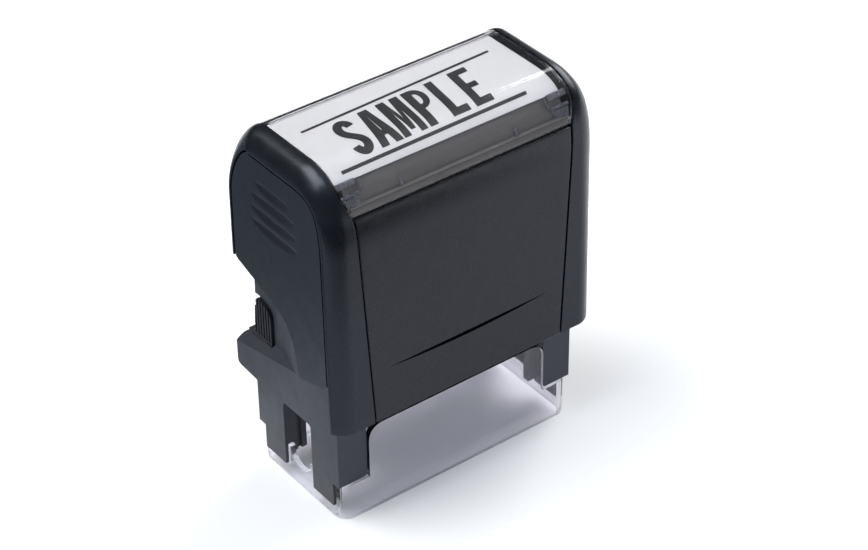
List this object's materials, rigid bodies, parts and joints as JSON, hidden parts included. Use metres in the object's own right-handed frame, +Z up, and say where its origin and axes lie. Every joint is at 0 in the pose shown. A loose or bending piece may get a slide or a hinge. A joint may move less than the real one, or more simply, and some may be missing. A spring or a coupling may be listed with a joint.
{
  "type": "self-inking text stamp",
  "caption": "Self-inking office stamp: cap that presses down over a base frame, flip-over text die, pull-out ink pad, clear index window and clear skirt.",
  "frame": {"origin": "middle of the footprint, on the table", "axes": "+X along the stamp's length, -Y towards its front long side, +Z up"},
  "size_m": [0.067, 0.0408, 0.086],
  "materials": {
    "charcoal_plastic": "satin moulded blue-black plastic",
    "slate_plastic": "fine-textured dark grey plastic",
    "frame_plastic": "matt dark grey plastic",
    "inner_plastic": "black moulded plastic",
    "clear_plastic": "glossy clear plastic",
    "card": "coated white card",
    "spring_steel": "bright spring wire",
    "die_rubber": "brick-red stamp rubber",
    "foam": "closed-cell foam",
    "ink_felt": "ink-soaked pad cloth"
  },
  "bodies": {
    "base": {"base_frame": "frame_plastic", "clear_skirt": "clear_plastic"},
    "cap": {"front_panel": "slate_plastic", "back_panel": "slate_plastic", "left_end_band": "charcoal_plastic", "right_end_band": "charcoal_plastic", "left_end_panel": "charcoal_plastic", "right_end_panel": "charcoal_plastic", "index_label": "card", "index_tray": "inner_plastic", "bridge": "inner_plastic", "return_spring": "spring_steel"},
    "window": {"index_window": "clear_plastic"},
    "die": {"die_carrier": "inner_plastic", "text_plate": "slate_plastic", "die_cushion": "foam", "rubber_die": "die_rubber", "left_flip_cam": "inner_plastic", "right_flip_cam": "inner_plastic"},
    "pad": {"ink_tray": "inner_plastic", "ink_pad": "ink_felt"}
  },
  "joints": [
    {"name": "press", "type": "slide", "parent": "base", "child": "cap", "axis": [0, 0, -1], "range_m": [0, 0.021], "stiffness_N_per_m": 400, "springref_m": -0.008, "deforming": ["return_spring"]},
    {"name": "die_flip", "type": "hinge", "parent": "cap", "child": "die", "pos_m": [0, -0.0012, 0.0285], "axis": [1, 0, 0], "range_deg": [0, 180]},
    {"name": "pad_pull", "type": "slide", "parent": "base", "child": "pad", "axis": [0, 1, 0], "range_m": [0, 0.034]},
    {"name": "window_lift", "type": "slide", "parent": "cap", "child": "window", "axis": [0, 0, 1], "range_m": [0, 0.012]}
  ],
  "couplings": [
    {"joint": "die_flip", "follows": "press", "rad_per_m": 149.5}
  ]
}
